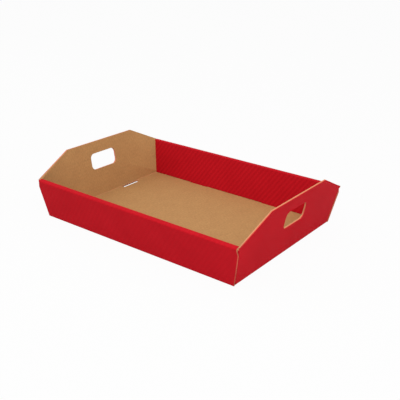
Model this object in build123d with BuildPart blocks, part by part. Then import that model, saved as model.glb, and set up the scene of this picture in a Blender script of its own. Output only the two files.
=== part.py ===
from build123d import *
from math import cos, radians, sin
import os

os.makedirs("parts", exist_ok=True)

# Sheet
board = 3.0
layerGap = 0.3
foldRadius = 2.6
creaseRadius = 0.5

# Tray, measured on its outer faces
baseLength = 400.0
baseWidth = 300.0
sideHeight = 69.0
sideLean = 9.4
endHeight = 104.0
endLean = 10.7
endTopWidth = 168.0

# Hand hole in each end wall, measured up the slope of the wall
handWidth = 64.0
handHeight = 31.0
handBottom = 52.5
handLowerRadius = 9.0
handUpperRadius = 2.0

# Corner flaps, folded from the end walls into the double side walls
flapLength = 64.0
flapLift = 2.0
flapTaper = 5.0

# Ends of the side walls, and the small opening where the folds meet
stripClearance = 0.5
reliefHeight = 12.0
notchWidth = 2.5
notchLength = 4.0

# Lock tabs on the foot of the rolled-over inner panels
tabWidth = 40.0
tabOffset = 85.0
tabClearance = 0.5
tabLift = 0.4
footLift = 0.2

# Slot along the fold of one end wall
slotLength = 45.0
slotWidth = 6.0
slotCentre = 57.0

# Derived sizes
sideCos = cos(radians(sideLean))
sideSin = sin(radians(sideLean))
endCos = cos(radians(endLean))
endSin = sin(radians(endLean))
sideSlope = sideHeight / sideCos
endSlope = endHeight / endCos
flapDepth = board + layerGap
innerDepth = 2 * flapDepth
wallDepth = innerDepth + board
spare = 40.0


def sidePoint(depth, slope):
    """Side wall section: y and z at a depth into the wall and a height up its slope."""
    y = baseWidth / 2 + slope * sideSin - depth * sideCos
    z = slope * sideCos + depth * sideSin
    return (y, z)


def endPoint(depth, slope):
    """End wall section: x and z at a depth into the wall and a height up its slope."""
    x = baseLength / 2 + slope * endSin - depth * endCos
    z = slope * endCos + depth * endSin
    return (x, z)


def sidePlane(depth):
    """Plane along the side wall, its y axis up the slope and its normal into the tray."""
    y, z = sidePoint(depth, 0)
    return Plane(origin=(0, y, z), x_dir=(1, 0, 0), z_dir=(0, -sideCos, sideSin))


def endPlane(depth):
    """Plane along the end wall, its y axis up the slope and its normal into the tray."""
    x, z = endPoint(depth, 0)
    return Plane(origin=(x, 0, z), x_dir=(0, -1, 0), z_dir=(-endCos, 0, endSin))


def sideReach(depth, height):
    """How far from the middle the side wall stands at a depth and a height."""
    return baseWidth / 2 + (height * sideSin - depth) / sideCos


def endReach(depth, height):
    """How far from the middle the end wall stands at a depth and a height."""
    return baseLength / 2 + (height * endSin - depth) / endCos


sideCrease = (board - board * sideSin) / sideCos
endCrease = (board - board * endSin) / endCos
sideFoot = (board + footLift - innerDepth * sideSin) / sideCos
flapTop = sideSlope - flapDepth
flapBottom = sideCrease + flapLift
stripDepth = board + stripClearance

# Side wall with half of the base: outer panel, top strip and rolled-over inner panel
with BuildPart() as side:
    with BuildSketch(Plane.YZ) as sideSection:
        with BuildLine():
            Polyline(
                (0, 0),
                (baseWidth / 2, 0),
                sidePoint(0, sideSlope),
                sidePoint(wallDepth, sideSlope),
                sidePoint(wallDepth, sideFoot),
                sidePoint(innerDepth, sideFoot),
                sidePoint(innerDepth, sideSlope - board),
                sidePoint(board, sideSlope - board),
                sidePoint(board, sideCrease),
                (0, board),
                close=True,
            )
        make_face()
        outerFolds = [
            (baseWidth / 2, 0),
            sidePoint(0, sideSlope),
            sidePoint(wallDepth, sideSlope),
        ]
        for fold in outerFolds:
            fillet(sideSection.vertices().sort_by_distance((*fold, 0))[0], foldRadius)
        innerFolds = [
            sidePoint(innerDepth, sideSlope - board),
            sidePoint(board, sideSlope - board),
            sidePoint(board, sideCrease),
        ]
        for fold in innerFolds:
            fillet(sideSection.vertices().sort_by_distance((*fold, 0))[0], creaseRadius)
    extrude(amount=baseLength / 2 + spare)
    # The outer panel ends flush with the outer face of the end wall
    split(bisect_by=endPlane(0), keep=Keep.TOP)
    # The base, the top strip and the inner panel stop short of the end wall
    stripFoot = -spare / endCos
    stripTop = sideHeight + spare
    with BuildSketch(endPlane(stripDepth)):
        with BuildLine():
            Polyline(
                (spare, stripFoot),
                (-sideReach(board, -spare), stripFoot),
                (-sideReach(board, stripTop), stripTop / endCos),
                (spare, stripTop / endCos),
                close=True,
            )
        make_face()
    extrude(amount=-spare, mode=Mode.SUBTRACT)
    # Relief on the upper end of the outer panel, down to the length of the top strip
    with BuildSketch(sidePlane(0)):
        with BuildLine():
            Polyline(
                (endReach(0, sideHeight - reliefHeight), sideSlope - reliefHeight),
                (endReach(stripDepth, sideHeight - board), sideSlope - board),
                (endReach(stripDepth, sideHeight + board), sideSlope + board),
                (baseLength / 2 + spare, sideSlope + board),
                (baseLength / 2 + spare, sideSlope - reliefHeight),
                close=True,
            )
        make_face()
    extrude(amount=board, mode=Mode.SUBTRACT)

# End wall with its fold to the base and one corner flap
with BuildPart() as end:
    with BuildSketch(Plane.XZ) as endSection:
        with BuildLine():
            Polyline(
                (baseLength / 2 - spare, 0),
                (baseLength / 2, 0),
                endPoint(0, endSlope),
                endPoint(board, endSlope),
                endPoint(board, endCrease),
                (baseLength / 2 - spare, board),
                close=True,
            )
        make_face()
        bend = endSection.vertices().sort_by_distance((baseLength / 2, 0, 0))[0]
        fillet(bend, foldRadius)
        crease = endSection.vertices().sort_by_distance((*endPoint(board, endCrease), 0))[0]
        fillet(crease, creaseRadius)
    extrude(amount=-(baseWidth / 2 + spare))
    split(bisect_by=sidePlane(flapDepth), keep=Keep.TOP)
    # Chamfered top corner, from the top of the side wall up to the straight top edge
    chamferFoot = Vector(-sideReach(flapDepth, sideHeight), sideHeight / endCos)
    chamferHead = Vector(-endTopWidth / 2, endSlope)
    chamferRun = chamferHead - chamferFoot
    lowPoint = chamferFoot - chamferRun
    highPoint = chamferHead + chamferRun
    with BuildSketch(endPlane(0)):
        with BuildLine():
            Polyline(
                (lowPoint.X, lowPoint.Y),
                (highPoint.X, highPoint.Y),
                (lowPoint.X, highPoint.Y),
                close=True,
            )
        make_face()
    extrude(amount=board * 2, both=True, mode=Mode.SUBTRACT)
    with BuildSketch(sidePlane(flapDepth)):
        with BuildLine():
            Polyline(
                (endReach(board / 2, flapBottom), flapBottom),
                (endReach(board / 2, flapTop), flapTop),
                (baseLength / 2 - flapLength, flapTop - flapTaper),
                (baseLength / 2 - flapLength, flapBottom + flapTaper),
                close=True,
            )
        make_face()
    extrude(amount=board)
    # Small opening at the corner, where the three folds would meet
    notchTop = flapBottom * sideCos
    with BuildSketch(Plane.XY):
        with Locations((baseLength / 2 - notchLength, sideReach(flapDepth, 0) - notchWidth)):
            Rectangle(spare, spare, align=(Align.MIN, Align.MIN))
    extrude(amount=notchTop, mode=Mode.SUBTRACT)
    cornerPoint = (endReach(0, sideHeight / 2), sideReach(flapDepth, sideHeight / 2), sideHeight / 2)
    fillet(end.edges().sort_by_distance(cornerPoint)[0], foldRadius)

with BuildPart() as tray:
    add(side.part)
    add(end.part)
    # Lock tab on the foot of the inner panel, in its slot through the base
    slotInner = sideReach(wallDepth, tabLift) - tabClearance
    slotOuter = sideReach(innerDepth, board) + tabClearance
    with BuildSketch(Plane.XY):
        with Locations((tabOffset, slotInner)):
            Rectangle(
                tabWidth + 2 * tabClearance,
                slotOuter - slotInner,
                align=(Align.CENTER, Align.MIN),
            )
    extrude(amount=board, mode=Mode.SUBTRACT)
    tabFoot = (tabLift - innerDepth * sideSin) / sideCos
    with BuildSketch(sidePlane(innerDepth)):
        with Locations((tabOffset, tabFoot)):
            Rectangle(
                tabWidth,
                sideFoot - tabFoot + board,
                align=(Align.CENTER, Align.MIN),
            )
    extrude(amount=board)
    mirror(about=Plane.XZ)
    # Hand hole
    with BuildSketch(endPlane(0)) as hand:
        with Locations((0, handBottom)):
            Rectangle(handWidth, handHeight, align=(Align.CENTER, Align.MIN))
        fillet(hand.vertices().group_by(Axis.Z)[0], handLowerRadius)
        fillet(hand.vertices().group_by(Axis.Z)[-1], handUpperRadius)
    extrude(amount=board * 2, both=True, mode=Mode.SUBTRACT)
    mirror(about=Plane.YZ)
    # Slot along one end fold
    with BuildSketch(Plane.XY):
        with Locations((-endReach(board, board), slotCentre)):
            Rectangle(slotWidth, slotLength, align=(Align.MIN, Align.CENTER))
    extrude(amount=board, mode=Mode.SUBTRACT)

tray.part.label = "tray_sheet"
export_step(tray.part, "parts/tray_sheet.step")
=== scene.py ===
import bpy
import bmesh
import math
from mathutils import Matrix, Vector


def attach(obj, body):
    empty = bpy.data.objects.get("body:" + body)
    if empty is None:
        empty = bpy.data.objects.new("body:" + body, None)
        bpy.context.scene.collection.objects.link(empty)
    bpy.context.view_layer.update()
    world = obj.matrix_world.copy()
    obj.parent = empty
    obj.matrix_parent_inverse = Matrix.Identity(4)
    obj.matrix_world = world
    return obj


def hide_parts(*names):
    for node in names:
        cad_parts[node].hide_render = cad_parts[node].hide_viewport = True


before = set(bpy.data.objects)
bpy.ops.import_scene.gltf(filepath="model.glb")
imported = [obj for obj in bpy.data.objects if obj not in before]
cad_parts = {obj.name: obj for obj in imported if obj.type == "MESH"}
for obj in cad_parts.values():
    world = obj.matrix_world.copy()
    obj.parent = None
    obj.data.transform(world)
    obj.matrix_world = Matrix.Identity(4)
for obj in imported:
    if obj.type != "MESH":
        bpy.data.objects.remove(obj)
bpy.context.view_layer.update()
mm = 0.001
print("frame loaded")


def linearColour(hexColour):
    channels = [int(hexColour[i:i + 2], 16) / 255 for i in (1, 3, 5)]
    return [c / 12.92 if c <= 0.04045 else ((c + 0.055) / 1.055) ** 2.4 for c in channels] + [1]


def addNode(tree, kind, settings=None, links=None):
    node = tree.nodes.new(kind)
    for name, value in (settings or {}).items():
        if isinstance(name, int) or name in node.inputs:
            node.inputs[name].default_value = value
        else:
            setattr(node, name, value)
    for name, source in (links or {}).items():
        tree.links.new(source, node.inputs[name])
    return node


def newMaterial(name):
    material = bpy.data.materials.new(name)
    material.use_nodes = True
    material.node_tree.nodes.clear()
    return material, material.node_tree


# Scale of a Wave texture whose bands repeat every so many millimetres:
# the bands repeat every 2 pi / 20 units of the scaled coordinate
def waveScale(spacing):
    return math.pi / 10 / (spacing * mm)


# The folded sheet, in millimetres and degrees
sheet = {
    "board": 3.0,
    "layerGap": 0.3,
    "baseLength": 400.0,
    "baseWidth": 300.0,
    "sideHeight": 69.0,
    "sideLean": 9.4,
    "endLean": 10.7,
    "foldReach": 2.9,       # the arc of a fold ends within this distance of its corner
    "foldSmooth": 35,       # degrees, sharper corners than this stay crisp
    "evenWeight": 100,      # large flat faces set the shading, not the narrow ones beside them
    "tolerance": 0.12,
    "mergeDistance": 0.02,
    "slotEdge": -191.5,
    "slotCentre": 57.0,
    "slotLength": 45.0,
    "slotSlack": 0.3,
    "slotPulled": 1.8,      # how far the slot's inner edge has been pulled open
    "squareTo": 0.99,       # a face is square to a wall when its normal reaches this
    "exactlySquareTo": 0.999,
    "noPart": 0.02,         # a smaller part of a normal counts as none
    "topArcTurn": -0.1,     # the arcs of the top fold face no further down than this
    "ribsInside": 1,        # how strongly the ribs show on the inner panels,
    "ribsRolled": 0.5,      # on the rolled-over fold
    "ribsOutside": 0.3,     # and on the outer faces
    "cutFacing": 0.9,       # the cut end of a side panel faces along the tray by this much
    "cutSlack": 0.2,
    "cutCrush": 0.6,        # panel ends are more crushed, so less raw paper shows
}


def wallAxes(lean):
    tilt = math.radians(lean)
    return math.cos(tilt), math.sin(tilt)


sideCos, sideSin = wallAxes(sheet["sideLean"])
endCos, endSin = wallAxes(sheet["endLean"])


# How deep a point of one corner of the tray lies in its side wall and its end wall
def wallDepths(x, y, z):
    sideDepth = (sheet["baseWidth"] / 2 - y) * sideCos + z * sideSin
    endDepth = (sheet["baseLength"] / 2 - x) * endCos + z * endSin
    return sideDepth, endDepth


# Folds a face back to one corner of the tray, with its depth into each wall
def readFace(face):
    centre = face.calc_center_median() / mm
    signX = 1 if centre.x >= 0 else -1
    signY = 1 if centre.y >= 0 else -1
    normal = Vector((face.normal.x * signX, face.normal.y * signY, face.normal.z))
    x, y, z = abs(centre.x), abs(centre.y), centre.z
    sideDepth, endDepth = wallDepths(x, y, z)
    sideSlope = (y - sheet["baseWidth"] / 2) * sideSin + z * sideCos
    return normal, sideDepth, endDepth, sideSlope, z


# The finish of a face of the sheet, how strongly its ribs show, and the panel it belongs to
def faceFinish(face):
    normal, sideDepth, endDepth, sideSlope, z = readFace(face)
    board, near, reach = sheet["board"], sheet["tolerance"], sheet["foldReach"]
    square, exact, none = sheet["squareTo"], sheet["exactlySquareTo"], sheet["noPart"]
    flap = board + sheet["layerGap"]        # depths of the layers of a side wall
    inner = 2 * flap
    wall = inner + board
    top = sheet["sideHeight"] / sideCos
    outSide = normal.y * sideCos - normal.z * sideSin
    upSide = normal.y * sideSin + normal.z * sideCos
    outEnd = normal.x * endCos - normal.z * endSin

    def lies(depth, *layers):
        return any(abs(depth - layer) < near for layer in layers)

    # Flat faces, panel by panel
    if z < near and normal.z < -square:
        return "printed", sheet["ribsOutside"], "base"
    if lies(z, board) and normal.z > square:
        return "kraft", 0, "base"
    if outEnd > square and lies(endDepth, 0):
        if sideDepth < board + near:
            return "cut", 0, "edge"         # end of a side panel, flush with the end wall
        return "printed", sheet["ribsOutside"], "end"
    if outEnd < -square and lies(endDepth, board):
        return "kraft", 0, "end"
    if outSide > square and lies(sideDepth, 0, flap):
        return "printed", sheet["ribsOutside"], "side"
    if outSide > square and lies(sideDepth, inner):
        return "kraft", 0, "side"
    if outSide < -square and lies(sideDepth, wall):
        return "printed", sheet["ribsInside"], "side"
    if outSide < -square and lies(sideDepth, board, flap + board):
        return "kraft", 0, "side"
    if upSide > square and lies(sideSlope, top) and endDepth > board:
        return "printed", sheet["ribsOutside"], "side"
    if upSide < -square and lies(sideSlope, top - board) and sideDepth > board:
        return "kraft", 0, "side"

    # Arcs of the rolled-over top fold
    sideways = abs(normal.x) < none
    if sideways and sideSlope > top - reach and endDepth > board and upSide > sheet["topArcTurn"]:
        return "printed", sheet["ribsRolled"], "side"
    # Arcs where the walls leave the base
    between = abs(outSide) < exact and abs(outEnd) < exact
    besideFold = sideways and sideDepth < reach or abs(normal.y) < none and endDepth < reach
    if between and normal.z < -none and z < reach and besideFold:
        return "printed", sheet["ribsOutside"], "base"
    # Arc from the end wall to its corner flap
    atFlap = endDepth < reach and flap - near < sideDepth < flap + reach and z < sheet["sideHeight"]
    if between and normal.x > none and normal.y > none and atFlap:
        return "printed", sheet["ribsOutside"], "end"
    return "cut", 0, "edge"


# How deep a point lies in the board from the printed side, on a cut face
def cutDepth(place, normal):
    sideDepth, endDepth = wallDepths(abs(place.x) / mm, abs(place.y) / mm, place.z / mm)
    board, slack = sheet["board"], sheet["cutSlack"]
    panelEnd = abs(normal.x) > sheet["cutFacing"]
    if endDepth < board + slack and not panelEnd:
        return endDepth * mm
    if panelEnd and endDepth < board and sideDepth < board + slack:
        return sideDepth * sheet["cutCrush"] * mm
    wall = 3 * board + 2 * sheet["layerGap"]
    return min(sideDepth, abs(wall - sideDepth)) * mm


# Where a point lies on its panel, in metres; on a cut edge, along and into the board
def sheetPlace(place, panel, normal):
    if panel == "base":
        return place.x, place.y
    if panel == "end":
        return place.z / endCos, place.y
    if panel == "side":
        return place.x, place.z / sideCos
    return place.x + place.y + place.z, cutDepth(place, normal)


# A merged copy of the sheet, with its slot pulled open and a finish on each face
def makeBoard():
    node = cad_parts["tray_sheet"]
    bm = bmesh.new()
    bm.from_mesh(node.data)
    bm.transform(node.matrix_world)
    bmesh.ops.remove_doubles(bm, verts=bm.verts, dist=sheet["mergeDistance"] * mm)
    slack = sheet["slotSlack"]
    slotReach = sheet["slotLength"] / 2 + slack
    for vert in bm.verts:
        fromEdge = abs(vert.co.x / mm - sheet["slotEdge"])
        fromCentre = abs(vert.co.y / mm - sheet["slotCentre"])
        if fromEdge < slack and fromCentre < slotReach:
            vert.co.x += sheet["slotPulled"] * mm
    bm.normal_update()
    uvLayer = bm.loops.layers.uv.new("sheet")
    ribLayer = bm.faces.layers.float.new("ribs")
    order = {"printed": 0, "kraft": 1, "cut": 2}        # order of the materials
    counts = {}
    for face in bm.faces:
        finish, ribs, panel = faceFinish(face)
        face.material_index = order[finish]
        face[ribLayer] = ribs
        face.smooth = True
        counts[finish] = counts.get(finish, 0) + 1
        for loop in face.loops:
            loop[uvLayer].uv = sheetPlace(loop.vert.co, panel, face.normal)
    mesh = bpy.data.meshes.new("trayBoard")
    bm.to_mesh(mesh)
    bm.free()
    mesh.set_sharp_from_angle(angle=math.radians(sheet["foldSmooth"]))
    piece = bpy.data.objects.new("trayBoard", mesh)
    bpy.context.scene.collection.objects.link(piece)
    even = piece.modifiers.new("evenNormals", "WEIGHTED_NORMAL")
    even.keep_sharp = True
    even.weight = sheet["evenWeight"]
    print("board faces", counts)
    return piece


# Red flexo print on a kraft liner: dull satin ink, with diagonal ribs pressed into the paper and
# painted shade in their grooves
printed = {
    "inkDeep": "#a80d18",
    "inkLight": "#d01a27",
    "ribSpacing": 7.6,      # mm
    "ribAngle": 56,         # degrees from the fold
    "ribWander": 0.35,      # how far a rib strays from a straight line
    # painted shade: how far the rib grooves are darkened towards the deep ink
    "ribShadeTone": 0.5,
    "ribBump": 0.35,
    "ribDepth": 0.6,        # mm
    "blotch": 55,           # mm
    "blotchLow": 0.45,      # share of the light ink in the darkest blotches
    "blotchHigh": 0.7,      # and in the palest
    "fibre": 1.2,           # mm, drawn coarser than the real fibres so that it shows
    "fibreDark": 0.89,      # tone of the darkest fibres
    "fibrePale": 1.08,      # and of the palest
    "fibreBump": 0.25,
    "fibreDepth": 0.15,     # mm
    "roughness": 0.6,
    "gloss": 0.04,          # low, so that white surroundings don't wash out the red
}


def makePrintedLiner():
    material, tree = newMaterial("flexoPrintedKraftLiner")
    uv = addNode(tree, "ShaderNodeUVMap", {"uv_map": "sheet"}).outputs["UV"]
    turn = math.radians(90 - printed["ribAngle"])
    turned = addNode(tree, "ShaderNodeMapping", {"Rotation": (0, 0, turn)}, {"Vector": uv})
    ribs = addNode(tree, "ShaderNodeTexWave", {
        "wave_type": "BANDS", "bands_direction": "X", "wave_profile": "SIN",
        "Scale": waveScale(printed["ribSpacing"]),
        "Distortion": printed["ribWander"], "Detail": 1.0, "Detail Scale": 0.4,
    }, {"Vector": turned.outputs[0]})
    strength = addNode(tree, "ShaderNodeAttribute", {
        "attribute_type": "GEOMETRY", "attribute_name": "ribs",
    })
    blotch = addNode(tree, "ShaderNodeTexNoise", {
        "Scale": 1 / (printed["blotch"] * mm), "Detail": 4.0, "Roughness": 0.55,
    }, {"Vector": uv})
    fibre = addNode(tree, "ShaderNodeTexNoise", {
        "Scale": 1 / (printed["fibre"] * mm), "Detail": 3.0, "Roughness": 0.7,
    }, {"Vector": uv})

    # Colour: two inks in blotches, painted shade from the deep ink in the rib grooves, and the
    # fibres as specks
    blotchShare = addNode(tree, "ShaderNodeMapRange", {
        "From Min": 0.3, "From Max": 0.7,       # the noise seldom leaves this span
        "To Min": printed["blotchLow"], "To Max": printed["blotchHigh"],
    }, {"Value": blotch.outputs["Fac"]})
    ink = addNode(tree, "ShaderNodeMix", {
        "data_type": "RGBA",
        6: linearColour(printed["inkDeep"]), 7: linearColour(printed["inkLight"]),
    }, {0: blotchShare.outputs[0]})
    ribHeight = addNode(tree, "ShaderNodeMath", {"operation": "MULTIPLY"}, {
        0: ribs.outputs["Fac"], 1: strength.outputs["Fac"],
    })
    # Painted shade: the grooves of the ribs darken towards the deep ink
    ribShadeShare = addNode(tree, "ShaderNodeMath", {
        "operation": "MULTIPLY", 1: printed["ribShadeTone"],
    }, {0: ribHeight.outputs[0]})
    ribShaded = addNode(tree, "ShaderNodeMix", {
        "data_type": "RGBA", 7: linearColour(printed["inkDeep"]),
    }, {0: ribShadeShare.outputs[0], 6: ink.outputs[2]})
    speck = addNode(tree, "ShaderNodeMapRange", {
        "From Min": 0.35, "From Max": 0.65,
        "To Min": printed["fibreDark"], "To Max": printed["fibrePale"],
    }, {"Value": fibre.outputs["Fac"]})
    toned = addNode(tree, "ShaderNodeVectorMath", {"operation": "SCALE"}, {
        0: ribShaded.outputs[2], "Scale": speck.outputs[0],
    })

    ribBump = addNode(tree, "ShaderNodeBump", {
        "Strength": printed["ribBump"], "Distance": printed["ribDepth"] * mm, "invert": True,
    }, {"Height": ribHeight.outputs[0]})
    fineBump = addNode(tree, "ShaderNodeBump", {
        "Strength": printed["fibreBump"], "Distance": printed["fibreDepth"] * mm,
    }, {"Height": fibre.outputs["Fac"], "Normal": ribBump.outputs[0]})
    shader = addNode(tree, "ShaderNodeBsdfPrincipled", {
        "Roughness": printed["roughness"], "Specular IOR Level": printed["gloss"],
    }, {"Base Color": toned.outputs[0], "Normal": fineBump.outputs[0]})
    addNode(tree, "ShaderNodeOutputMaterial", None, {"Surface": shader.outputs[0]})
    return material


# Plain kraft liner: matt brown paper with long fibres, and the flutes under it as a faint washboard
# with painted shade in its troughs
kraft = {
    "deep": "#a6764a",
    "light": "#c4965f",
    "blotch": 24,           # mm
    "blotchLow": 0.42,      # share of the light brown in the darkest blotches
    "blotchHigh": 0.64,     # and in the palest
    "fibreLength": 5.0,     # mm
    "fibreWidth": 1.3,      # mm, coarser than real so that it shows
    "fibreDark": 0.86,      # tone of the darkest fibres
    "fibrePale": 1.12,      # and of the palest
    "fibreBump": 0.3,
    "fibreDepth": 0.2,      # mm
    "flutePitch": 6.3,      # mm
    # painted shade: how much darker the troughs of the flutes are
    "flutePaintedShade": 0.02,
    "fluteBump": 0.12,
    "fluteDepth": 0.5,      # mm
    "roughness": 0.82,
    "gloss": 0.25,
}


def makeKraftLiner():
    material, tree = newMaterial("unbleachedKraftLiner")
    uv = addNode(tree, "ShaderNodeUVMap", {"uv_map": "sheet"}).outputs["UV"]
    squash = kraft["fibreWidth"] / kraft["fibreLength"]
    stretched = addNode(tree, "ShaderNodeMapping", {"Scale": (squash, 1, 1)}, {"Vector": uv})
    blotch = addNode(tree, "ShaderNodeTexNoise", {
        "Scale": 1 / (kraft["blotch"] * mm), "Detail": 5.0, "Roughness": 0.6,
    }, {"Vector": uv})
    fibre = addNode(tree, "ShaderNodeTexNoise", {
        "Scale": 1 / (kraft["fibreWidth"] * mm), "Detail": 3.0, "Roughness": 0.65,
    }, {"Vector": stretched.outputs[0]})
    flutes = addNode(tree, "ShaderNodeTexWave", {
        "wave_type": "BANDS", "bands_direction": "X", "wave_profile": "SIN",
        "Scale": waveScale(kraft["flutePitch"]), "Distortion": 0.2, "Detail": 1.0,
    }, {"Vector": uv})

    # Colour: two browns in blotches, darker and paler along the fibres, and painted shade in the
    # troughs of the flutes
    blotchShare = addNode(tree, "ShaderNodeMapRange", {
        "From Min": 0.3, "From Max": 0.7,
        "To Min": kraft["blotchLow"], "To Max": kraft["blotchHigh"],
    }, {"Value": blotch.outputs["Fac"]})
    paper = addNode(tree, "ShaderNodeMix", {
        "data_type": "RGBA",
        6: linearColour(kraft["deep"]), 7: linearColour(kraft["light"]),
    }, {0: blotchShare.outputs[0]})
    speck = addNode(tree, "ShaderNodeMapRange", {
        "From Min": 0.35, "From Max": 0.65,
        "To Min": kraft["fibreDark"], "To Max": kraft["fibrePale"],
    }, {"Value": fibre.outputs["Fac"]})
    # Painted shade in the troughs of the flutes
    washboardShade = addNode(tree, "ShaderNodeMapRange", {
        "To Min": 1 - kraft["flutePaintedShade"], "To Max": 1.0,
    }, {"Value": flutes.outputs["Fac"]})
    tone = addNode(tree, "ShaderNodeMath", {"operation": "MULTIPLY"}, {
        0: speck.outputs[0], 1: washboardShade.outputs[0],
    })
    toned = addNode(tree, "ShaderNodeVectorMath", {"operation": "SCALE"}, {
        0: paper.outputs[2], "Scale": tone.outputs[0],
    })

    fluteBump = addNode(tree, "ShaderNodeBump", {
        "Strength": kraft["fluteBump"], "Distance": kraft["fluteDepth"] * mm,
    }, {"Height": flutes.outputs["Fac"]})
    fineBump = addNode(tree, "ShaderNodeBump", {
        "Strength": kraft["fibreBump"], "Distance": kraft["fibreDepth"] * mm,
    }, {"Height": fibre.outputs["Fac"], "Normal": fluteBump.outputs[0]})
    shader = addNode(tree, "ShaderNodeBsdfPrincipled", {
        "Roughness": kraft["roughness"], "Specular IOR Level": kraft["gloss"],
    }, {"Base Color": toned.outputs[0], "Normal": fineBump.outputs[0]})
    addNode(tree, "ShaderNodeOutputMaterial", None, {"Surface": shader.outputs[0]})
    return material


# Die-cut edge of the board: paler raw paper, with the open flutes as darker spots
cutEdge = {
    "paper": "#d8a276",
    "shade": "#b07a4c",
    "bleed": 2.0,           # mm, how far the red liner is dragged over the edge by the die
    "bleedStart": 0.4,      # the red fades from this share of the way
    "bleedFull": 0.85,
    "bleedLeft": 0.12,
    "flutePitch": 6.3,      # mm
    "fluteShade": 0.65,
    "grain": 1.1,           # mm
    "grainBump": 0.5,
    "grainDepth": 0.4,      # mm
    "roughness": 0.9,
    "gloss": 0.1,
}


def makeCutEdge():
    material, tree = newMaterial("dieCutBoardEdge")
    place = addNode(tree, "ShaderNodeTexCoord").outputs["Object"]
    uv = addNode(tree, "ShaderNodeUVMap", {"uv_map": "sheet"}).outputs["UV"]
    cells = addNode(tree, "ShaderNodeTexVoronoi", {
        "Scale": 1 / (cutEdge["flutePitch"] * mm), "Randomness": 0.55,
    }, {"Vector": place})
    grain = addNode(tree, "ShaderNodeTexNoise", {
        "Scale": 1 / (cutEdge["grain"] * mm), "Detail": 3.0, "Roughness": 0.7,
    }, {"Vector": place})

    # Colour: raw paper, shaded in the open flutes and red towards the printed side
    opened = addNode(tree, "ShaderNodeMapRange", {
        "From Min": 0.12, "From Max": 0.4, "To Min": cutEdge["fluteShade"], "To Max": 0.0,
    }, {"Value": cells.outputs["Distance"]})
    shaded = addNode(tree, "ShaderNodeMath", {"operation": "MULTIPLY"}, {
        0: opened.outputs[0], 1: grain.outputs["Fac"],
    })
    paper = addNode(tree, "ShaderNodeMix", {
        "data_type": "RGBA",
        6: linearColour(cutEdge["paper"]), 7: linearColour(cutEdge["shade"]),
    }, {0: shaded.outputs[0]})
    across = addNode(tree, "ShaderNodeSeparateXYZ", None, {0: uv})
    bleed = addNode(tree, "ShaderNodeMapRange", {
        "From Min": cutEdge["bleed"] * cutEdge["bleedStart"] * mm,
        "From Max": cutEdge["bleed"] * mm,
        "To Min": cutEdge["bleedFull"], "To Max": cutEdge["bleedLeft"],
    }, {"Value": across.outputs["Y"]})
    inked = addNode(tree, "ShaderNodeMix", {
        "data_type": "RGBA", 7: linearColour(printed["inkLight"]),
    }, {0: bleed.outputs[0], 6: paper.outputs[2]})

    bump = addNode(tree, "ShaderNodeBump", {
        "Strength": cutEdge["grainBump"], "Distance": cutEdge["grainDepth"] * mm,
    }, {"Height": grain.outputs["Fac"]})
    shader = addNode(tree, "ShaderNodeBsdfPrincipled", {
        "Roughness": cutEdge["roughness"], "Specular IOR Level": cutEdge["gloss"],
    }, {"Base Color": inked.outputs[2], "Normal": bump.outputs[0]})
    addNode(tree, "ShaderNodeOutputMaterial", None, {"Surface": shader.outputs[0]})
    return material


trayBoard = makeBoard()
for maker in (makePrintedLiner, makeKraftLiner, makeCutEdge):
    trayBoard.data.materials.append(maker())
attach(trayBoard, "root")
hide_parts("tray_sheet")
print("board made")

# White table; the camera sees it white, apart from a soft shadow
stage = {
    "tableSize": 8.0,       # m
    "tableTone": "#cfcfcf",
    "shadowKept": 0.05,
}


def makeTable():
    bm = bmesh.new()
    bmesh.ops.create_grid(bm, x_segments=1, y_segments=1, size=stage["tableSize"] / 2)
    mesh = bpy.data.meshes.new("table")
    bm.to_mesh(mesh)
    bm.free()
    table = bpy.data.objects.new("table", mesh)
    bpy.context.scene.collection.objects.link(table)
    material, tree = newMaterial("whitePaperSweep")
    matt = addNode(tree, "ShaderNodeBsdfDiffuse", {"Color": linearColour(stage["tableTone"])})
    white = addNode(tree, "ShaderNodeEmission", {"Color": (1, 1, 1, 1), "Strength": 1.0})
    ray = addNode(tree, "ShaderNodeLightPath")
    amount = addNode(tree, "ShaderNodeMath", {
        "operation": "MULTIPLY", 1: 1 - stage["shadowKept"],
    }, {0: ray.outputs["Is Camera Ray"]})
    mixed = addNode(tree, "ShaderNodeMixShader", None, {
        0: amount.outputs[0], 1: matt.outputs[0], 2: white.outputs[0],
    })
    addNode(tree, "ShaderNodeOutputMaterial", None, {"Surface": mixed.outputs[0]})
    mesh.materials.append(material)


makeTable()

# Soft studio light: an even white room, a large lamp high in front on the right, a weaker one
# on the left, and a small low one beside the right end; places and sizes in metres, power in watts
lights = {
    "roomStrength": 0.62,
    "key": {"place": (1.0, -1.15, 1.85), "size": 1.6, "power": 31.0},
    "fill": {"place": (-1.3, -0.6, 1.5), "size": 1.8, "power": 8.0},
    "side": {"place": (1.7, 0.3, 0.22), "size": 0.4, "power": 3.0},
}


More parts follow.
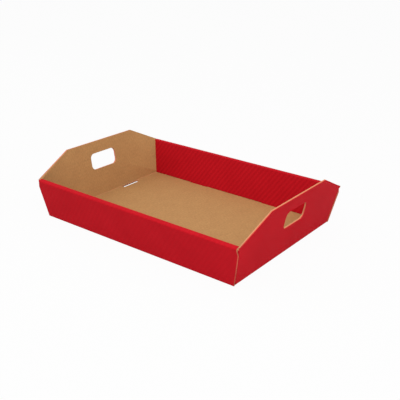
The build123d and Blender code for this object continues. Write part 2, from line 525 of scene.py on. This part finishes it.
def makeRoom():
    world = bpy.data.worlds.new("whiteRoom")
    bpy.context.scene.world = world
    world.use_nodes = True
    tree = world.node_tree
    tree.nodes.clear()
    room = addNode(tree, "ShaderNodeBackground", {
        "Color": (1, 1, 1, 1), "Strength": lights["roomStrength"],
    })
    seen = addNode(tree, "ShaderNodeBackground", {"Color": (1, 1, 1, 1), "Strength": 1.0})
    ray = addNode(tree, "ShaderNodeLightPath")
    mixed = addNode(tree, "ShaderNodeMixShader", None, {
        0: ray.outputs["Is Camera Ray"], 1: room.outputs[0], 2: seen.outputs[0],
    })
    addNode(tree, "ShaderNodeOutputWorld", None, {"Surface": mixed.outputs[0]})


# A round lamp that faces the tray
def makeLamp(name):
    spec = lights[name]
    lamp = bpy.data.lights.new(name + "Lamp", "AREA")
    lamp.shape = "DISK"
    lamp.size = spec["size"]
    lamp.energy = spec["power"]
    lampObject = bpy.data.objects.new(name + "Lamp", lamp)
    lampObject.location = spec["place"]
    lampObject.rotation_euler = Vector(spec["place"]).to_track_quat("Z", "Y").to_euler()
    bpy.context.scene.collection.objects.link(lampObject)


makeRoom()
for lampName in ("key", "fill", "side"):
    makeLamp(lampName)

# Camera, aimed at a point of the table's top
view = {
    "azimuth": 36.67,       # degrees
    "elevation": 22.58,     # degrees
    "roll": 1.21,           # degrees
    "target": (-0.03762, 0.0828, 0.0),
    "distance": 1.28211,
    "focal": 1.66991,       # focal length over the width of the frame
    "sensor": 36,           # mm
}


def makeCamera():
    turn, rise, roll = (math.radians(view[key]) for key in ("azimuth", "elevation", "roll"))
    level = math.cos(rise)
    back = Vector((math.sin(turn) * level, -math.cos(turn) * level, math.sin(rise)))
    right = Vector((math.cos(turn), math.sin(turn), 0))
    up = back.cross(right)
    rolledRight = right * math.cos(roll) + up * math.sin(roll)
    rolledUp = up * math.cos(roll) - right * math.sin(roll)
    camera = bpy.data.cameras.new("camera")
    camera.sensor_width = view["sensor"]
    camera.lens = view["focal"] * view["sensor"]
    cameraObject = bpy.data.objects.new("camera", camera)
    turned = Matrix((rolledRight, rolledUp, back)).transposed().to_4x4()
    place = Vector(view["target"]) + back * view["distance"]
    cameraObject.matrix_world = Matrix.Translation(place) @ turned
    bpy.context.scene.collection.objects.link(cameraObject)
    bpy.context.scene.camera = cameraObject


makeCamera()
bpy.context.scene.view_settings.view_transform = "Standard"
print("stage, lights and camera made")
